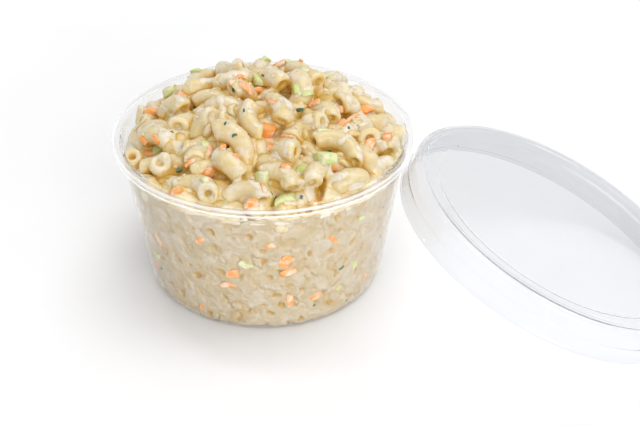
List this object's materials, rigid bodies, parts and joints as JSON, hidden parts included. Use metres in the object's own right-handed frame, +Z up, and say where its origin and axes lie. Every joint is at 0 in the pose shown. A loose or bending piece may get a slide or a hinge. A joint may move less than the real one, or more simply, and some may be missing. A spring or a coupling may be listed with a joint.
{
  "type": "macaroni salad in a clear cup",
  "caption": "Macaroni salad of elbow noodles, carrot and celery, heaped in a round clear cup, with the cup's clear lid leaning against its side.",
  "frame": {"origin": "middle of the cup's base, on the floor", "axes": "+Z up, +X from the cup towards its lid, the picture looks along +Y"},
  "size_m": [0.2279, 0.1433, 0.083],
  "materials": {
    "clear_plastic": "clear, smooth",
    "lid_plastic": "clear, smooth",
    "dressed_pasta": "moist, creamy"
  },
  "bodies": {
    "root": {"cup": "clear_plastic", "salad": "dressed_pasta", "lid": "lid_plastic"}
  },
  "joints": []
}
